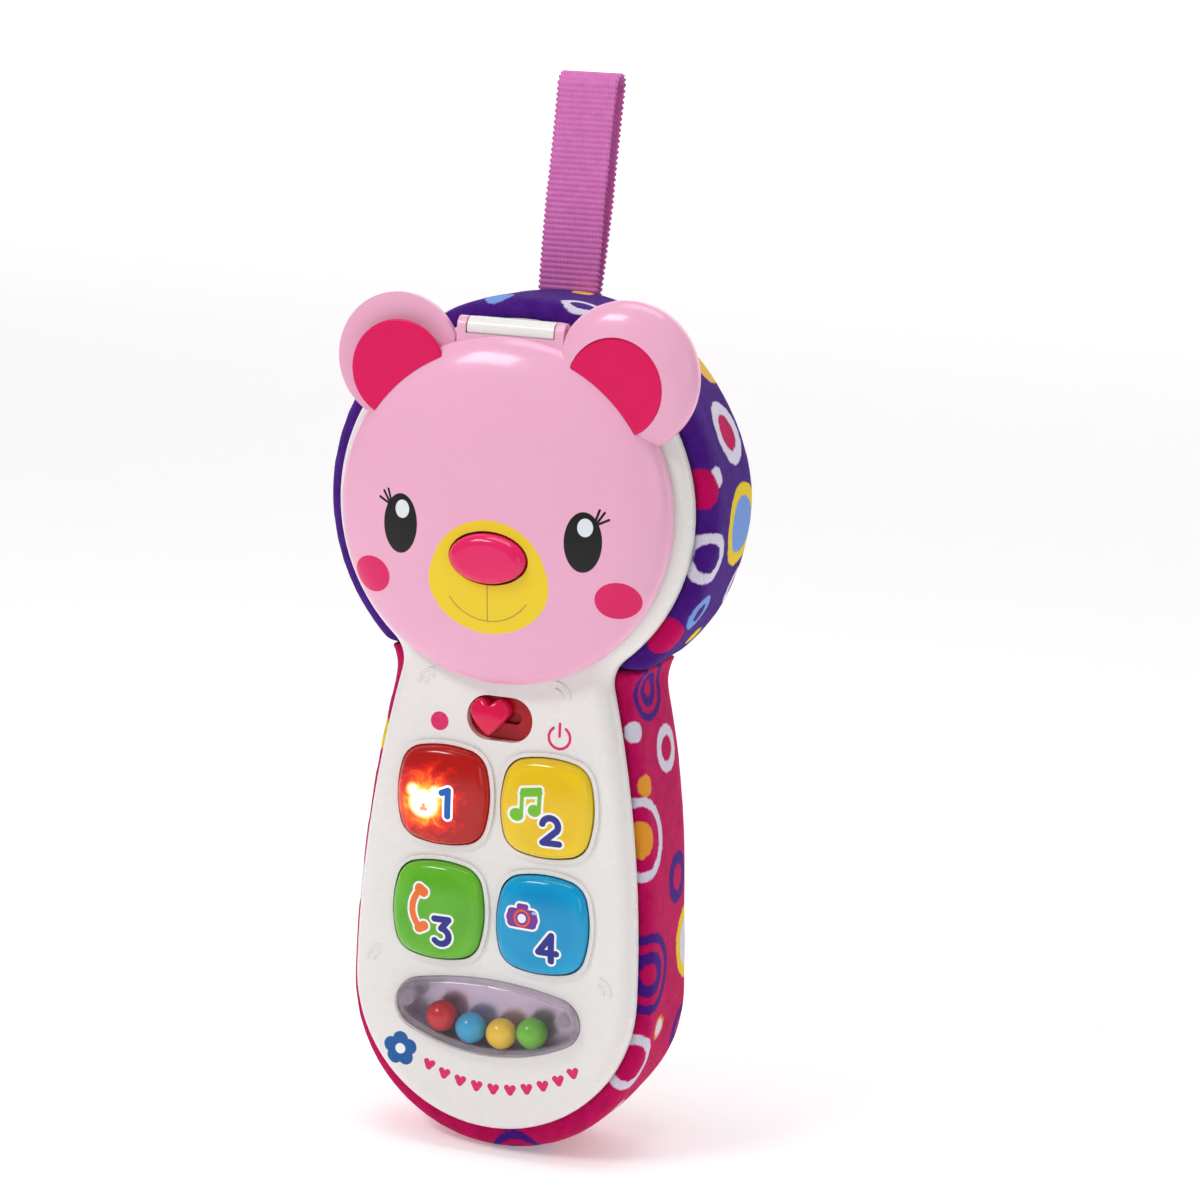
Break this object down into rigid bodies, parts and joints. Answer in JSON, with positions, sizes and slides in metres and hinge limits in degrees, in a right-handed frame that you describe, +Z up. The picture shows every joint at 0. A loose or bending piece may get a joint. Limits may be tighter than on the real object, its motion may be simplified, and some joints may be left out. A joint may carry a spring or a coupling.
{
  "type": "toy cell phone",
  "caption": "Plush-backed baby phone with a hinged bear-face flap over a mirror, light-up push buttons, a heart slide switch, a window of loose balls and a ribbon hanging loop.",
  "frame": {"origin": "under the middle of the whole toy, at its lowest point, with the toy upright", "axes": "+Z up from the rounded foot to the head, +X to the viewer's right, -Y out of the face"},
  "size_m": [0.094, 0.0544, 0.2484],
  "materials": {
    "white_plastic": "glossy injection-moulded",
    "pink_plastic": "glossy",
    "hot_pink_plastic": "glossy",
    "red_plastic": "satin",
    "red_key": "translucent, lit",
    "yellow_key": "translucent",
    "green_key": "translucent",
    "blue_key": "translucent",
    "clear_plastic": "clear",
    "lilac_plastic": "satin metallic",
    "ball_red": "glossy",
    "ball_blue": "glossy",
    "ball_yellow": "glossy",
    "ball_green": "glossy",
    "purple_plush": "short pile",
    "magenta_plush": "short pile",
    "strap_ribbon": "grosgrain",
    "mirror_film": "polished",
    "steel": "plated",
    "board_green": "solder mask",
    "silicone": "matte",
    "black_plastic": "matte",
    "cell_jacket": "printed sleeve",
    "lamp": "clear epoxy",
    "wire": "pvc"
  },
  "bodies": {
    "phone": {"front_housing": "white_plastic", "rear_housing": "white_plastic", "housing_screws": "steel", "circuit_board": "board_green", "button_leds": "lamp", "keypad_membrane": "silicone", "sound_chip": "black_plastic", "reed_switch": "lamp", "slot_plate": "red_plastic", "power_switch_body": "black_plastic", "bead_window": "clear_plastic", "bead_tray": "lilac_plastic", "battery_lower": "cell_jacket", "battery_upper": "cell_jacket", "battery_contacts": "steel", "speaker": "black_plastic", "leads": "wire", "plush_head": "purple_plush", "plush_body": "magenta_plush", "mirror": "mirror_film", "mirror_bezel": "hot_pink_plastic", "hinge_pin": "steel"},
    "face_cover": {"face_shell": "pink_plastic", "face_back": "pink_plastic", "face_screws": "steel", "inner_ear_left": "hot_pink_plastic", "inner_ear_right": "hot_pink_plastic", "nose": "hot_pink_plastic", "flap_magnet": "steel"},
    "power_slider": {"heart_knob": "hot_pink_plastic", "slide_carriage": "red_plastic"},
    "key_1": {"button_1": "red_key"},
    "key_2": {"button_2": "yellow_key"},
    "key_3": {"button_3": "green_key"},
    "key_4": {"button_4": "blue_key"},
    "ball_red": {"bead_red": "ball_red"},
    "ball_blue": {"bead_blue": "ball_blue"},
    "ball_yellow": {"bead_yellow": "ball_yellow"},
    "ball_green": {"bead_green": "ball_green"},
    "battery_cover": {"battery_door": "white_plastic", "door_screw": "steel"},
    "strap": {"strap_loop": "strap_ribbon"}
  },
  "joints": [
    {"name": "face_hinge", "type": "hinge", "parent": "phone", "child": "face_cover", "pos_m": [0, -0.0145, 0.1928], "axis": [-1, 0, 0], "range_deg": [0, 84]},
    {"name": "power_slide", "type": "slide", "parent": "phone", "child": "power_slider", "axis": [1, 0, 0], "range_m": [0, 0.005]},
    {"name": "key_1_press", "type": "slide", "parent": "phone", "child": "key_1", "axis": [0, 1, 0], "range_m": [0, 0.0015], "stiffness_N_per_m": 400},
    {"name": "key_2_press", "type": "slide", "parent": "phone", "child": "key_2", "axis": [0, 1, 0], "range_m": [0, 0.0015], "stiffness_N_per_m": 400},
    {"name": "key_3_press", "type": "slide", "parent": "phone", "child": "key_3", "axis": [0, 1, 0], "range_m": [0, 0.0015], "stiffness_N_per_m": 400},
    {"name": "key_4_press", "type": "slide", "parent": "phone", "child": "key_4", "axis": [0, 1, 0], "range_m": [0, 0.0015], "stiffness_N_per_m": 400},
    {"name": "ball_red_roll", "type": "hinge", "parent": "phone", "child": "ball_red", "pos_m": [0, -0.0101, 0.0681], "axis": [0, -1, 0], "range_deg": [-4, 8]},
    {"name": "ball_blue_roll", "type": "hinge", "parent": "phone", "child": "ball_blue", "pos_m": [0, -0.0101, 0.0681], "axis": [0, -1, 0], "range_deg": [-4, 8]},
    {"name": "ball_yellow_roll", "type": "hinge", "parent": "phone", "child": "ball_yellow", "pos_m": [0, -0.0101, 0.0681], "axis": [0, -1, 0], "range_deg": [-4, 8]},
    {"name": "ball_green_roll", "type": "hinge", "parent": "phone", "child": "ball_green", "pos_m": [0, -0.0101, 0.0681], "axis": [0, -1, 0], "range_deg": [-4, 8]},
    {"name": "battery_cover_lift", "type": "slide", "parent": "phone", "child": "battery_cover", "axis": [0, 1, 0], "range_m": [0, 0.022]},
    {"name": "strap_flop", "type": "hinge", "parent": "phone", "child": "strap", "pos_m": [0, 0.02012, 0.20269], "axis": [1, 0, 0], "range_deg": [-70, 60]}
  ],
  "couplings": [
    {"joint": "ball_blue_roll", "follows": "ball_red_roll", "ratio": 1},
    {"joint": "ball_yellow_roll", "follows": "ball_red_roll", "ratio": 1},
    {"joint": "ball_green_roll", "follows": "ball_red_roll", "ratio": 1}
  ]
}
